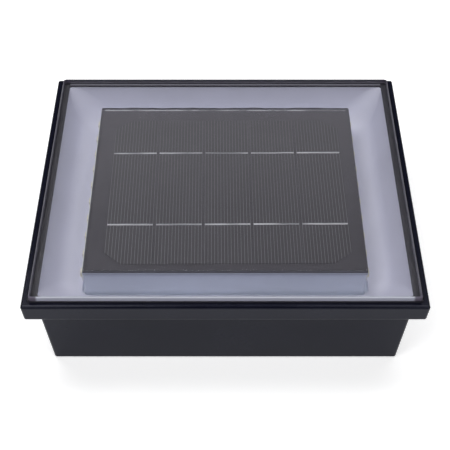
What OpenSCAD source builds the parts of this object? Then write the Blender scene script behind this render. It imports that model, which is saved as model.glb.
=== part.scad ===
// Recessed solar light for a paved or decked surface: a square bucket with a flange, a bonded
// glass plate on top, a white reflector cove around a carrier with a solar panel on it, two rows
// of LEDs, a control board, a rechargeable cell and a service cover with a push button below.
// Origin: middle of the base. +Z up, +Y away from the side shown in front.

/* [Housing] */
// Outside width of the square flange at its widest
top_w = 200; // [190:1:260]
// Depth of the body below the flange
recess_depth = 37; // [36:0.5:60]
// Height of the flange, from its underside to the rim
flange_h = 9.4; // [8.8:0.1:14]
// How far the flange stands out past the body
overhang = 6.2; // [3:0.1:8]
// Draft of the outer walls, in degrees
draft = 7.8; // [3:0.1:9]
// Side wall
wall = 2.4; // [1.6:0.1:3]
// Floor
floor_t = 2.6; // [2:0.1:4]
// Radius of the upright corners
corner_r = 1.4; // [1.3:0.1:6]
// Rounding of the rim's outer edge
rim_edge_r = 1.3; // [0.6:0.1:2.2]
// Rounding of the flange's lower edge
skirt_edge_r = 0.8; // [0.4:0.1:2.2]
// Rounding of the base's edge
base_edge_r = 1.2; // [0.6:0.1:2.2]
// Rounding inside, where the walls meet the floor
inner_edge_r = 1.2; // [0.5:0.1:2]
// From the widest edge to the glass recess
rim_w = 3.1; // [2.4:0.1:6]
// Width of the band under the glass edge that the seal covers
ledge_w = 4.6; // [3:0.1:7]

/* [Glass] */
// Thickness of the glass plate
glass_t = 6; // [4:0.5:8]
// How far the glass stands above the rim
glass_proud = 3.2; // [1:0.1:3.6]
// Radius of the glass plate's corners
glass_corner_r = 1.5; // [0.5:0.1:4]
// Ground chamfer along the glass edges
arris = 0.5; // [0.2:0.1:1]
// Thickness of the seal under the glass
seal_t = 0.5; // [0.3:0.1:1]
// Thickness of the seal's upstand around the glass
seal_side_t = 0.55; // [0.4:0.05:1]
// Free play around the glass and around the seal
glass_gap = 0.05; // [0.02:0.01:0.2]
// From the rim down to the top of the seal's upstand
seal_below_rim = 0.2; // [0:0.1:0.6]

/* [Reflector] */
// Thickness of the reflector tray
tray_t = 1.2; // [0.8:0.1:1.6]
// Depth of the cove below the seal
cove_depth = 16; // [14:0.5:24]
// Free play between the tray and its neighbours
tray_gap = 0.3; // [0.1:0.05:0.6]
// From the panel's edge out to the tray's foot
tray_foot_gap = 0.6; // [0.4:0.1:1.2]

/* [Solar panel] */
// Width of the panel
panel_w = 144; // [140:1:150]
// Length of the panel, front to back
panel_l = 145; // [140:1:150]
// Air gap between the panel and the glass
panel_gap = 0.8; // [0.5:0.1:3]
// Thickness of the panel's backing board
panel_board_t = 1.6; // [1:0.1:2]
// Thickness of the clear laminate
laminate_t = 1.2; // [0.8:0.1:2]
// How far the laminate's edge stays inside the board's edge
laminate_inset = 0.2; // [0.1:0.1:2.5]
// Length of a cell strip, the width of the wafer that it is cut from
wafer_w = 125; // [120:1:126]
// Cell strips that the wafer is cut into
strips = 5; // [4:1:6]
// Cut corner of the wafer
wafer_cut = 9; // [0:0.5:14]
// Gap between two cell strips
strip_gap = 0.5; // [0.3:0.1:1]
// Thickness of a cell
cell_t = 0.2; // [0.15:0.05:0.3]
// Width of a busbar ribbon
ribbon_w = 1.1; // [0.8:0.1:2]
// Thickness of a busbar ribbon
ribbon_t = 0.2; // [0.1:0.05:0.3]
// Distance between the two busbars
busbar_pitch = 62.5; // [55:0.5:70]
// Sideways place of the cells on the panel
cells_x = 1; // [-3:0.1:3]
// Lengthwise place of the cells on the panel
cells_y = -3.8; // [-5:0.1:4]
// Turn of the cells on the panel, in degrees
cells_turn = 0.4; // [-1:0.1:1]
// Double-sided foam tape under the panel
tape_t = 0.5; // [0.3:0.1:1]
// Width of the tape
tape_w = 8; // [5:0.5:12]

/* [Carrier] */
// Width of the carrier under the panel
carrier_w = 143; // [138:0.5:143]
// Sideways place of the carrier under the panel
carrier_x = -0.3; // [-1.5:0.1:1.5]
// Carrier wall
carrier_wall = 2; // [1.5:0.1:3]
// Top plate of the carrier
plate_t = 2.4; // [1.8:0.1:3]
// Width of the shelf that holds the tray's inner edge
shelf_w = 4.5; // [3:0.5:6]
// Thickness of that shelf
shelf_t = 1.6; // [1.2:0.1:2]
// From the middle to each corner post, sideways and lengthwise
post_at = 62; // [58:0.5:63]
// Corner post
post_d = 9; // [8:0.5:10]

/* [LEDs] */
// Length of an LED board
led_board_l = 134; // [133:0.5:135]
// Height of an LED board
led_board_h = 6; // [5:0.5:8]
// Thickness of an LED board
led_board_t = 1; // [0.8:0.1:1.6]
// From the top of the carrier down to an LED board
led_board_drop = 0.6; // [0.3:0.1:2]
// Lengthwise place of the LED rows
led_y = -1.5; // [-2:0.1:2]
// LED chips in a row
leds = 10; // [6:1:10]
// Distance between two chips
led_pitch = 14.3; // [11:0.1:14.4]
// Length of a chip along its row
chip_l = 3.5; // [2.8:0.1:4]
// Height of a chip
chip_h = 2.8; // [2:0.1:3.2]
// How far a chip stands off its board
chip_t = 0.8; // [0.6:0.1:1]

/* [Battery] */
// Diameter of the cell
cell_d = 18.3; // [14:0.1:18.6]
// Length of the cell without its button end
cell_l = 65; // [50:0.5:66]
// Lengthwise place of the battery
battery_y = 34; // [31:0.5:35]
// Holder wall
holder_wall = 1.4; // [1.2:0.1:2]
// Base of the holder
holder_base_t = 1.8; // [1.4:0.1:2.4]
// Free play around the cell in its holder
cell_play = 0.35; // [0.2:0.05:0.6]
// Length that the contact spring fills
spring_l = 4.5; // [3.5:0.1:6]
// Wire of the contact spring
spring_wire = 0.8; // [0.6:0.05:1]
// Turns of the contact spring
spring_turns = 3; // [2:1:4]
// Thickness of a contact plate
contact_t = 0.4; // [0.3:0.05:0.6]
// Screw ears of the holder
ear_l = 9; // [7:0.5:10]
// From the carrier's plate down to the holder's ears
ear_drop = 6; // [5:0.5:10]

/* [Control board] */
// Width of the board
board_w = 66; // [62:1:76]
// Length of the board
board_l = 42; // [40:1:44]
// Thickness of the board
board_t = 1.6; // [1:0.1:2]
// Lengthwise place of the board
board_y = -16; // [-18:0.5:-15]
// From the board's edge to its screws
board_screw_inset = 4.5; // [4:0.1:6]
// Diameter of the bosses that carry the board
board_boss_d = 6; // [5:0.1:7]
// Height of a lead connector
connector_h = 6; // [5:0.1:8]
// Diameter of a lead
lead_d = 1.3; // [1:0.1:1.5]
// Distance between the two leads of a pair
lead_pitch = 2.5; // [2:0.1:3]

/* [Service cover] */
// Width of the opening in the floor
opening_w = 88; // [80:1:90]
// Length of the opening in the floor
opening_l = 60; // [58:1:62]
// Lengthwise place of the opening
opening_y = 16; // [15:0.5:17]
// Width that the cover laps past the opening
cover_lap = 10; // [9:0.5:11]
// Thickness of the cover
cover_t = 2.3; // [2:0.1:3]
// How far the cover sits above the base's plane
cover_sink = 0.6; // [0.4:0.1:1.2]
// Radius of the cover's corners
cover_corner_r = 6; // [3:0.5:8]
// Free play around the cover
cover_gap = 0.3; // [0.1:0.05:0.6]
// Thickness of the cover left under its screw heads
cover_seat_t = 1.2; // [0.9:0.1:1.5]
// Thickness of the pan above the cover
pan_t = 2.4; // [2:0.1:3]
// Width of the cover seal
cover_seal_w = 2; // [1.6:0.1:2.4]
// Depth of the seal's groove in the cover
groove_depth = 1; // [0.8:0.1:1.4]

/* [Power button] */
// Sideways place of the button
button_x = 12; // [8:0.5:16]
// Lengthwise place of the button
button_y = -3; // [-3:0.5:-2]
// Diameter of the button's stem
stem_d = 6.6; // [5:0.1:6.8]
// Diameter of the collar that keeps the button in
collar_d = 9.6; // [8.6:0.1:11]
// Thickness of the collar
collar_t = 1.5; // [1:0.1:2]
// How far the button is pressed in
button_travel = 1.5; // [0.5:0.1:1.8]
// Free play around the stem
stem_play = 0.2; // [0.1:0.05:0.4]
// Inside diameter of the well in the cover
well_d = 15; // [14.5:0.1:16]
// Wall of the well
well_wall = 2; // [1.5:0.1:2.2]
// Depth of the well from the cover's outer face
well_depth = 7; // [6:0.1:8]
// Wall of the rubber boot's dome
boot_wall = 1; // [0.8:0.1:1.3]
// Thickness of the boot's flange
boot_flange_t = 1.2; // [1:0.1:1.5]
// How far the dome stands out of the flange
dome_h = 4.4; // [3.6:0.1:4.8]
// Height of the ring that holds the boot
boot_ring_h = 1.8; // [1.2:0.1:2.4]
// Side of the switch's square case
switch_w = 8.5; // [7:0.1:9]
// Height of the switch's case
switch_h = 7.1; // [6:0.1:8]
// Diameter of the switch's plunger
plunger_d = 3.4; // [2.6:0.1:4]
// Length of the plunger inside the case, at rest
plunger_in = 3; // [2:0.1:3.4]
// Plunger left outside the case when it is pressed
plunger_rest = 0.6; // [0.4:0.1:1]

/* [Screws] */
// Thread of the carrier and cover screws
screw_d = 3; // [2.5:0.5:3.5]
// Thread of the board and holder screws
small_screw_d = 2.2; // [2:0.1:2.5]
// Length of the carrier screws' shanks
carrier_screw_l = 14; // [10:0.5:18]
// Length of the cover screws' shanks
cover_screw_l = 8; // [6:0.5:8.5]
// Length of the board screws' shanks
board_screw_l = 7; // [5:0.5:9]
// Length of the holder screws' shanks
holder_screw_l = 6.5; // [5:0.5:7]
// Play between a screw and its hole
screw_play = 0.1; // [0.05:0.01:0.2]
// Thickness of the sealing washers
washer_t = 0.8; // [0.6:0.1:1.2]

/* [Hidden] */
$fn = 48;
eps = 0.01;

// Small gap between two flat faces that don't touch
face_gap = 0.1;

// Heights, from the base up
slope = tan(draft);
rim_z = recess_depth + flange_h;
glass_z = rim_z + glass_proud - glass_t;
ledge_z = glass_z - seal_t;
cove_z = ledge_z - cove_depth;
shelf_z = cove_z - tray_t;
laminate_z = glass_z - panel_gap - laminate_t;
panel_board_z = laminate_z - panel_board_t;
carrier_top = panel_board_z - tape_t;
ceiling_z = carrier_top - plate_t;
cover_top = cover_sink + cover_t;
cover_recess = cover_top + face_gap;
pan_top = cover_recess + pan_t;
well_z = cover_sink + well_depth;
well_top = well_z + well_wall;
boot_z = well_z - boot_flange_t;
dome_z = boot_z - dome_h;
collar_z = well_top + face_gap;
plunger_z = collar_z + collar_t + face_gap;
switch_z = plunger_z + button_travel + plunger_rest;
board_z = switch_z + switch_h;
board_top = board_z + board_t;
connector_z = board_top + connector_h;
boss_play = 0.2;

// Half widths, from the middle out
top_half = top_w / 2;
skirt_low_half = top_half - (flange_h - rim_edge_r) * slope;
body_top_half = skirt_low_half - overhang;
body_low_half = body_top_half - recess_depth * slope;
wall_across = wall * sqrt(1 + slope * slope);
recess_half = top_half - rim_w;
ledge_half = recess_half - ledge_w;
glass_half = recess_half - seal_side_t - 2 * glass_gap;
tray_lap = 0.1;
tray_top_half = ledge_half + tray_lap;
tray_foot_half = max(panel_w, panel_l) / 2 + tray_foot_gap;
flare_drop = 1;
flare_z = recess_depth - flare_drop;
carrier_half = carrier_w / 2;
carrier_in = carrier_half - carrier_wall;

// Half width of the housing's inside at a height
function cavity_half(z) = body_low_half + z * slope - wall_across;

// Service cover, its screws and its seal
cover_w = opening_w + 2 * cover_lap;
cover_l = opening_l + 2 * cover_lap;
pan_wall = 2.6;
cover_screw_at = cover_lap / 2 + 0.6;
cover_screw_places = [for (sx = [-1, 0, 1], sy = [-1, 1])
    [sx * (opening_w / 2 + cover_screw_at), opening_y + sy * (opening_l / 2 + cover_screw_at)]];
cover_boss_h = cover_screw_l - pan_t - cover_t + 3;
seal_play = 0.1;
seal_in = 1;

// Carrier screws
carrier_screw_places = [for (sx = [-1, 1], sy = [-1, 1]) [sx * post_at, sy * post_at]];
head_h = 0.65 * screw_d;
head_d = 1.9 * screw_d;
cover_head_h = 0.5 * head_h;
small_head_h = 0.65 * small_screw_d;
small_head_d = 1.9 * small_screw_d;
sink_depth = head_h + 0.8;
carrier_boss_h = sink_depth + washer_t + 2.2;
carrier_boss_d = post_d + 2.5;
washer_d = head_d + 0.6;

// Board screws and holder screws
board_screw_places = [for (sx = [-1, 1], sy = [-1, 1])
    [sx * (board_w / 2 - board_screw_inset), board_y + sy * (board_l / 2 - board_screw_inset)]];
contact_play = 0.15;
nub_d = 5.6;
nub_h = 1.5;
bay_l = cell_l + nub_h + spring_l + 2 * contact_t + 2 * contact_play;
bay_half = bay_l / 2;
holder_half = bay_half + holder_wall;
holder_screw_places = [for (sx = [-1, 1]) [sx * (holder_half + ear_l / 2), battery_y]];
battery_z = ceiling_z - holder_base_t - cell_play - cell_d / 2;
ear_z = ceiling_z - ear_drop;
cell_end = -bay_half + contact_play + contact_t + spring_l;
contact_w = 11;
holder_side = cell_d / 2 + cell_play;
holder_low = battery_z - 2;
ear_w = 10;

// Solar cells
strip_w = wafer_w / strips;
strip_pitch = strip_w + strip_gap;
cells_w = wafer_w + (strips - 1) * strip_gap;
cell_pocket = cell_t + ribbon_t + 0.05;
cell_margin = 0.3;
ribbon_inset = 0.6;
panel_wire_x = -6;
panel_wire_y = 12;

// LED rows
led_z = carrier_top - led_board_drop - led_board_h;
led_wall = [carrier_x - carrier_half, carrier_x + carrier_half];

// Leads: where each connector stands on the board
connector_y = board_y + 5;
connector_x = [-22, -7, 7, 22];
connector_w = 8;
connector_l = 5.5;
connector_wall = 1;
key_depth = 0.8;
key_h = 2.4;
wire_hole = lead_pitch + lead_d + 1.2;
wire_hole_z = ceiling_z - wire_hole / 2;

module square_plate(half, r, h) {
    linear_extrude(h) rounded_rect(2 * half, 2 * half, r);
}

module rounded_rect(w, l, r) {
    union() {
        square([w, l - 2 * r], center = true);
        square([w - 2 * r, l], center = true);
        for (sx = [-1, 1], sy = [-1, 1])
            translate([sx * (w / 2 - r), sy * (l / 2 - r)]) circle(r);
    }
}

// A round corner with a rounded edge, for the eight corners of a drafted block
module edge_ring(r, edge_r) {
    rotate_extrude($fn = 32)
        intersection() {
            translate([r - edge_r, 0]) circle(edge_r, $fn = 32);
            translate([0, -edge_r]) square([r + edge_r, 2 * edge_r]);
        }
}

// Block with drafted walls and rounded edges, given by its half widths at the bottom and top
module drafted(half0, half1, z0, z1, r, low_r, top_r) {
    lean = (half1 - half0) / (z1 - z0);
    pull = 1 - sqrt(1 + lean * lean);
    low_edge = min(low_r, r);
    top_edge = min(top_r, r);
    low = half0 + low_edge * (lean + pull) - r;
    high = half1 - top_edge * (lean - pull) - r;
    hull()
        for (sx = [-1, 1], sy = [-1, 1]) {
            translate([sx * low, sy * low, z0 + low_edge]) edge_ring(r, low_edge);
            translate([sx * high, sy * high, z1 - top_edge]) edge_ring(r, top_edge);
        }
}

module housing() {
    color("#35363c")
    difference() {
        union() {
            difference() {
                union() {
                    drafted(body_low_half, body_top_half + slope, 0, recess_depth + 1,
                        corner_r, base_edge_r, eps);
                    drafted(skirt_low_half, top_half + rim_edge_r * slope, recess_depth, rim_z,
                        corner_r, skirt_edge_r, rim_edge_r);
                }
                drafted(cavity_half(floor_t), cavity_half(flare_z + 1), floor_t, flare_z + 1,
                    corner_r, inner_edge_r, eps);
                drafted(flare_half(flare_start), flare_half(ledge_z + 1), flare_start, ledge_z + 1,
                    corner_r, eps, eps);
                translate([0, 0, ledge_z]) square_plate(recess_half, corner_r, glass_t);
            }
            translate([0, opening_y, 0]) linear_extrude(pan_top)
                rounded_rect(cover_w + 2 * (cover_gap + pan_wall), cover_l + 2 * (cover_gap + pan_wall),
                    cover_corner_r + pan_wall);
            for (at = cover_screw_places)
                translate([at.x, at.y, pan_top - eps]) cylinder(d = screw_d + 4, h = cover_boss_h);
            for (at = carrier_screw_places)
                translate([at.x, at.y, 0]) cylinder(d = carrier_boss_d, h = carrier_boss_h);
        }
        translate([0, opening_y, -eps]) linear_extrude(cover_recess + eps)
            rounded_rect(cover_w + 2 * cover_gap, cover_l + 2 * cover_gap, cover_corner_r + cover_gap);
        translate([0, opening_y, -eps]) linear_extrude(pan_top + 1)
            rounded_rect(opening_w, opening_l, cover_corner_r / 2);
        for (at = cover_screw_places)
            translate([at.x, at.y, 0])
                cylinder(d = screw_d + 2 * screw_play, h = pan_top + cover_boss_h - 1.2);
        for (at = carrier_screw_places)
            translate([at.x, at.y, -eps]) {
                cylinder(d = washer_d + 1, h = sink_depth + washer_t + eps);
                cylinder(d = screw_d + 4 * screw_play, h = carrier_boss_h + 1);
            }
    }
}

module glass_cover() {
    color("#c8d6dc", 0.35)
    translate([0, 0, glass_z])
    hull() {
        translate([0, 0, arris]) square_plate(glass_half, glass_corner_r, glass_t - 2 * arris);
        square_plate(glass_half - arris, glass_corner_r, glass_t);
    }
}

module glass_seal() {
    side_top = rim_z - seal_below_rim - ledge_z;
    color("#2c2b33")
    translate([0, 0, ledge_z])
    difference() {
        square_plate(recess_half - glass_gap, corner_r, side_top);
        translate([0, 0, seal_t]) square_plate(glass_half + glass_gap, glass_corner_r, side_top);
        translate([0, 0, -eps]) square_plate(ledge_half, corner_r, seal_t + 1);
    }
}

// The cove's inner line: it leaves the carrier level, bends up, and ends in step with the
// housing's flare
cove_steps = 10;
cove_reach = 6.2;
cove_play = 0.3;
function cove_wall(z) = cavity_half(z) - tray_gap - tray_t;
cove_bend = [[tray_foot_half, cove_z], [cove_wall(cove_z) - cove_reach, cove_z],
    [cove_wall(flare_z) - cove_play, flare_z], [tray_top_half, ledge_z]];
function cove_point(t) =
    let (u = 1 - t)
    u * u * u * cove_bend[0] + 3 * u * u * t * cove_bend[1] + 3 * u * t * t * cove_bend[2]
        + t * t * t * cove_bend[3];
function cove_slant(t) = let (d = cove_point(t + 0.01) - cove_point(t - 0.01)) d / norm(d);
cove_line = [for (i = [0 : cove_steps]) cove_point(i / cove_steps)];
cove_back = [for (i = [cove_steps - 1 : -1 : 1])
    let (t = i / cove_steps, way = cove_slant(t)) cove_point(t) + tray_t * [way.y, -way.x]];
tray_rim_half = tray_top_half + tray_t / cove_slant(1).y;
tray_profile = concat(cove_line, [[tray_rim_half, ledge_z]], cove_back, [[tray_foot_half, shelf_z]]);
tray_corner_steps = 5;

// The housing's inside widens from flare_z up, so that the tray's top fits in
flare_lead = 2;
flare_start = flare_z - flare_lead;
function flare_half(z) = cavity_half(flare_z)
    + (tray_rim_half + tray_gap - cavity_half(flare_z)) * (z - flare_z) / (ledge_z - flare_z);

// One closed ring of the tray: a square of the given half width with its corners rounded.
// The corners are tight at the foot and the top, and softest halfway up the cove.
cove_span = tray_top_half - tray_foot_half;
function corner_softness(half) =
    2 + 0.53 * cove_span * sin(180 * max(0, min(1, (half - tray_foot_half) / cove_span)));
function tray_ring(half, z) =
    let (r = corner_softness(half))
    [for (q = [0 : 3], i = [0 : tray_corner_steps])
        let (a = 90 * q + 90 * i / tray_corner_steps, c = 90 * q + 45)
        [sign(cos(c)) * (half - r) + r * cos(a), sign(sin(c)) * (half - r) + r * sin(a), z]];

module reflector_tray() {
    rows = len(tray_profile);
    across = 4 * (tray_corner_steps + 1);
    points = [for (p = tray_profile) each tray_ring(p.x, p.y)];
    faces = [for (i = [0 : rows - 1], j = [0 : across - 1])
        let (a = i * across, b = (i + 1) % rows * across, k = (j + 1) % across)
        each [[a + j, b + j, b + k], [a + j, b + k, a + k]]];
    color("#e9e9ee") polyhedron(points, faces);
}

module carrier() {
    color("#e4e5ea")
    difference() {
        union() {
            translate([carrier_x, 0, 0]) difference() {
                union() {
                    translate([0, 0, floor_t]) square_plate(carrier_half, 1.5, carrier_top - floor_t);
                    translate([0, 0, shelf_z - shelf_t])
                        square_plate(carrier_half + shelf_w, 2, shelf_t);
                }
                translate([0, 0, -eps]) square_plate(carrier_in, 1, ceiling_z + eps);
            }
            for (at = carrier_screw_places)
                translate([at.x, at.y, carrier_boss_h])
                    cylinder(d = post_d, h = ceiling_z - carrier_boss_h + eps);
            for (at = board_screw_places)
                translate([at.x, at.y, board_top])
                    cylinder(d = board_boss_d, h = ceiling_z - board_top + eps);
            for (at = holder_screw_places)
                translate([at.x, at.y, ear_z])
                    cylinder(d = board_boss_d, h = ceiling_z - ear_z + eps);
        }
        for (at = carrier_screw_places)
            translate([at.x, at.y, 0])
                cylinder(d = screw_d + 2 * screw_play, h = carrier_screw_l + sink_depth + washer_t + 1);
        for (at = board_screw_places)
            translate([at.x, at.y, 0])
                cylinder(d = small_screw_d + 2 * screw_play, h = board_z + board_screw_l + 0.8);
        for (at = holder_screw_places)
            translate([at.x, at.y, 0])
                cylinder(d = small_screw_d + 2 * screw_play,
                    h = ear_z - holder_base_t + holder_screw_l + 0.8);
        translate([panel_wire_x, panel_wire_y, ceiling_z - eps])
            cylinder(d = wire_hole, h = plate_t + 2 * eps);
        for (x = led_wall)
            translate([x, connector_y, wire_hole_z]) rotate([0, 90, 0])
                cylinder(d = wire_hole, h = 2 * carrier_wall + 2, center = true);
    }
}

module panel_tape() {
    side = min(carrier_half + carrier_x, carrier_half - carrier_x) - 1;
    color("#f2f2f2")
    translate([0, 0, carrier_top])
    difference() {
        square_plate(side, 1, tape_t);
        translate([0, 0, -eps]) square_plate(side - tape_w, 1, tape_t + 1);
    }
}

module panel_board() {
    color("#3c3b46")
    translate([0, 0, panel_board_z]) linear_extrude(panel_board_t)
        rounded_rect(panel_w, panel_l, 0.8);
}

// Sideways place of a strip from the middle of all the strips
function strip_x(i) = (i - (strips - 1) / 2) * strip_pitch;

// Places what is drawn on the middle of the cells at a height, turned as they are
module on_cells(z) {
    translate([cells_x, cells_y, z]) rotate([0, 0, cells_turn]) children();
}

// One strip of the wafer; the outer strips keep the wafer's cut corners
module cell_strip(i) {
    x0 = -wafer_w / 2 + i * strip_w;
    translate([strip_x(i) - x0 - strip_w / 2, 0, 0]) linear_extrude(cell_t)
        intersection() {
            translate([x0, -wafer_w / 2]) square([strip_w, wafer_w]);
            polygon([for (q = [0 : 3], s = [0, 1])
                let (a = wafer_w / 2, b = a - wafer_cut, u = s == 0 ? a : b, v = s == 0 ? b : a)
                q == 0 ? [u, v] : q == 1 ? [-v, u] : q == 2 ? [-u, -v] : [v, -u]]);
        }
}

module solar_cells() {
    color("#3b3c4a")
    on_cells(laminate_z)
        for (i = [0 : strips - 1]) cell_strip(i);
}

module busbar_ribbons() {
    ribbon_l = strip_w - 2 * ribbon_inset;
    color("#b9bac0")
    on_cells(laminate_z + cell_t)
        for (i = [0 : strips - 1], sy = [-1, 1])
            translate([strip_x(i) - ribbon_l / 2, sy * busbar_pitch / 2 - ribbon_w / 2, 0])
                cube([ribbon_l, ribbon_w, ribbon_t]);
}

// A plate as large as the laminate, less a margin all round
module laminate_plate(margin, h) {
    off = 2 * (laminate_inset + margin);
    linear_extrude(h) rounded_rect(panel_w - off, panel_l - off, 1);
}

module panel_laminate() {
    color("#8a8a92", 0.3)
    difference() {
        translate([0, 0, laminate_z])
            hull() {
                laminate_plate(0, laminate_t * 0.5);
                laminate_plate(0.15 * laminate_t, laminate_t * 0.85);
                laminate_plate(0.5 * laminate_t, laminate_t);
            }
        on_cells(laminate_z - eps)
            translate([-cells_w / 2 - cell_margin, -wafer_w / 2 - cell_margin, 0])
                cube([cells_w + 2 * cell_margin, wafer_w + 2 * cell_margin, cell_pocket + eps]);
    }
}

module led_boards() {
    color("#f0f0ea")
    for (s = [0, 1])
        translate([led_wall[s] - (s == 0 ? led_board_t : 0), led_y - led_board_l / 2, led_z])
            cube([led_board_t, led_board_l, led_board_h]);
}

module led_chips() {
    color("#e8d25a")
    for (s = [0, 1], i = [0 : leds - 1])
        translate([led_wall[s] + (s == 0 ? -led_board_t - chip_t : led_board_t),
            led_y + (i - (leds - 1) / 2) * led_pitch - chip_l / 2,
            led_z + (led_board_h - chip_h) / 2])
            cube([chip_t, chip_l, chip_h]);
}

module control_board() {
    color("#1f5a3a")
    difference() {
        translate([-board_w / 2, board_y - board_l / 2, board_z]) cube([board_w, board_l, board_t]);
        for (at = board_screw_places)
            translate([at.x, at.y, board_z - eps])
                cylinder(d = small_screw_d + 4 * screw_play, h = board_t + 1);
    }
}

// A box that hangs from the underside of the control board
module under_board(x, y, size) {
    translate([x - size.x / 2, board_y + y - size.y / 2, board_z - size.z]) cube(size);
}

module controller_chips() {
    charger = [6, 5, 1.7];
    driver = [5, 4, 1.5];
    color("#222226") {
        under_board(-14, 2, charger);
        under_board(-4, 2, driver);
    }
}

// A ferrite drum between two square flanges
module inductor() {
    side = 8;
    tall = 5;
    flange = 1;
    color("#5b5b60") {
        translate([-17, board_y - 10, board_z - tall]) cylinder(d = side, h = tall);
        under_board(-17, -10, [side, side, flange]);
        translate([0, 0, flange - tall]) under_board(-17, -10, [side, side, flange]);
    }
}

// Two round cans, each on a square base
module capacitors() {
    can_d = 6.3;
    can_h = 7.5;
    base_h = 1.2;
    color("#3a3a66")
    for (x = [-4, 5]) {
        translate([x, board_y - 11, board_z - can_h]) cylinder(d = can_d, h = can_h);
        under_board(x, -11, [can_d + 0.1, can_d + 0.1, base_h]);
    }
}

module diode() {
    body = [4.4, 2.7, 2.2];
    color("#222226") under_board(14, -11, body);
}

module resistors() {
    body = [2, 1.3, 0.6];
    pitch = 3.4;
    color("#1c1c1c")
    for (i = [0 : 5]) under_board(-16 + pitch * i, 7.5, body);
}

module lead_connectors() {
    color("#efece2")
    for (x = connector_x)
        translate([x - connector_w / 2, connector_y - connector_l / 2, board_top])
            difference() {
                cube([connector_w, connector_l, connector_h]);
                translate([connector_wall, -eps, connector_h - key_h])
                    cube([connector_w - 2 * connector_wall, key_depth, key_h + eps]);
            }
}

module push_switch() {
    color("#28282c")
    translate([button_x, button_y, switch_z])
        difference() {
            translate([-switch_w / 2, -switch_w / 2, 0]) cube([switch_w, switch_w, switch_h]);
            translate([0, 0, -eps])
                cylinder(d = plunger_d + 2 * stem_play, h = plunger_in + button_travel + 0.4);
        }
}

module switch_plunger() {
    color("#e8e8e8")
    translate([button_x, button_y, plunger_z])
        cylinder(d = plunger_d, h = switch_z - plunger_z + plunger_in);
}

module power_button() {
    foot = dome_z + boot_wall + face_gap;
    color("#d0d0d4")
    translate([button_x, button_y, 0]) {
        translate([0, 0, foot]) cylinder(d = stem_d, h = plunger_z - foot);
        translate([0, 0, collar_z]) cylinder(d = collar_d, h = collar_t);
    }
}

module button_boot() {
    bore = stem_d + 2 * stem_play;
    color("#303036")
    translate([button_x, button_y, 0])
        difference() {
            union() {
                translate([0, 0, boot_z]) cylinder(d = well_d - 2 * boss_play, h = boot_flange_t);
                translate([0, 0, dome_z + boot_wall])
                    cylinder(d = bore + 2 * boot_wall, h = boot_z - dome_z - boot_wall + eps);
                translate([0, 0, dome_z])
                    cylinder(d1 = bore, d2 = bore + 2 * boot_wall, h = boot_wall + eps);
            }
            translate([0, 0, dome_z + boot_wall]) cylinder(d = bore, h = dome_h + boot_flange_t);
        }
}

module boot_ring() {
    color("#4a4a50")
    translate([button_x, button_y, boot_z - boot_ring_h])
        difference() {
            cylinder(d = well_d - boss_play / 2, h = boot_ring_h);
            translate([0, 0, -eps])
                cylinder(d = stem_d + 2 * (stem_play + boot_wall + boss_play), h = boot_ring_h + 1);
        }
}

// Turns a piece that is drawn upright so that its axis lies along X, on the battery's axis
module along_battery(x) {
    translate([x, battery_y, battery_z]) rotate([0, 90, 0]) children();
}

module battery_cell() {
    color("#3d8f6a")
    along_battery(cell_end) {
        cylinder(d = cell_d, h = cell_l);
        translate([0, 0, cell_l - eps]) cylinder(d = nub_d, h = nub_h + eps);
    }
}

module battery_holder() {
    color("#2a2a2e")
    difference() {
        union() {
            translate([-holder_half, battery_y - holder_side - holder_wall, holder_low])
                cube([2 * holder_half, 2 * (holder_side + holder_wall), ceiling_z - holder_low]);
            translate([-holder_half - ear_l, battery_y - ear_w / 2, ear_z - holder_base_t])
                cube([2 * (holder_half + ear_l), ear_w, holder_base_t]);
        }
        translate([-bay_half, battery_y - holder_side, holder_low - 1])
            cube([2 * bay_half, 2 * holder_side, ceiling_z - holder_base_t - holder_low + 1]);
        for (at = holder_screw_places)
            translate([at.x, at.y, ear_z - holder_base_t - eps])
                cylinder(d = small_screw_d + 4 * screw_play, h = holder_base_t + 1);
    }
}

module contact_plates() {
    color("#c9c3ae")
    for (s = [-1, 1])
        translate([s > 0 ? bay_half - contact_play - contact_t : -bay_half + contact_play,
            battery_y - contact_w / 2, battery_z - contact_w / 2])
            cube([contact_t, contact_w, contact_w]);
}

// A round tube of n sides along a list of points; each end is cut square to its first step
function unit(v) = v / norm(v);
function tube_ring(p, way, r, n) =
    let (side = unit(abs(way.z) < 0.9 ? cross(way, [0, 0, 1]) : cross(way, [0, 1, 0])),
        up = cross(side, way))
    [for (i = [0 : n - 1]) p + r * (cos(360 * i / n) * side + sin(360 * i / n) * up)];
module tube(path, ways, r, n) {
    last = len(path) - 1;
    points = [for (i = [0 : last]) each tube_ring(path[i], ways[i], r, n)];
    sides = [for (i = [0 : last - 1], j = [0 : n - 1])
        let (a = i * n, b = a + n, k = (j + 1) % n)
        each [[a + j, b + k, b + j], [a + j, a + k, b + k]]];
    near = [for (j = [1 : n - 2]) [0, j + 1, j]];
    far = [for (j = [1 : n - 2]) [last * n, last * n + j, last * n + j + 1]];
    polyhedron(points, concat(sides, near, far));
}

// Conical spring between the left contact plate and the battery, one unbroken helix
module contact_spring() {
    turns = 16 * spring_turns;
    x0 = cell_end - spring_l + spring_wire / 2 + 0.05;
    x1 = cell_end - spring_wire / 2 - 0.05;
    path = [for (i = [0 : turns])
        let (t = i / turns, a = 360 * spring_turns * t, r = 4.6 - 2 * t)
        [x0 + (x1 - x0) * t, battery_y + r * cos(a), battery_z + r * sin(a)]];
    ways = [for (i = [0 : turns])
        let (a = 360 * spring_turns * i / turns) unit([0.04, -sin(a), cos(a)])];
    color("#c8c8c8") tube(path, ways, spring_wire / 2, 6);
}

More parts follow.
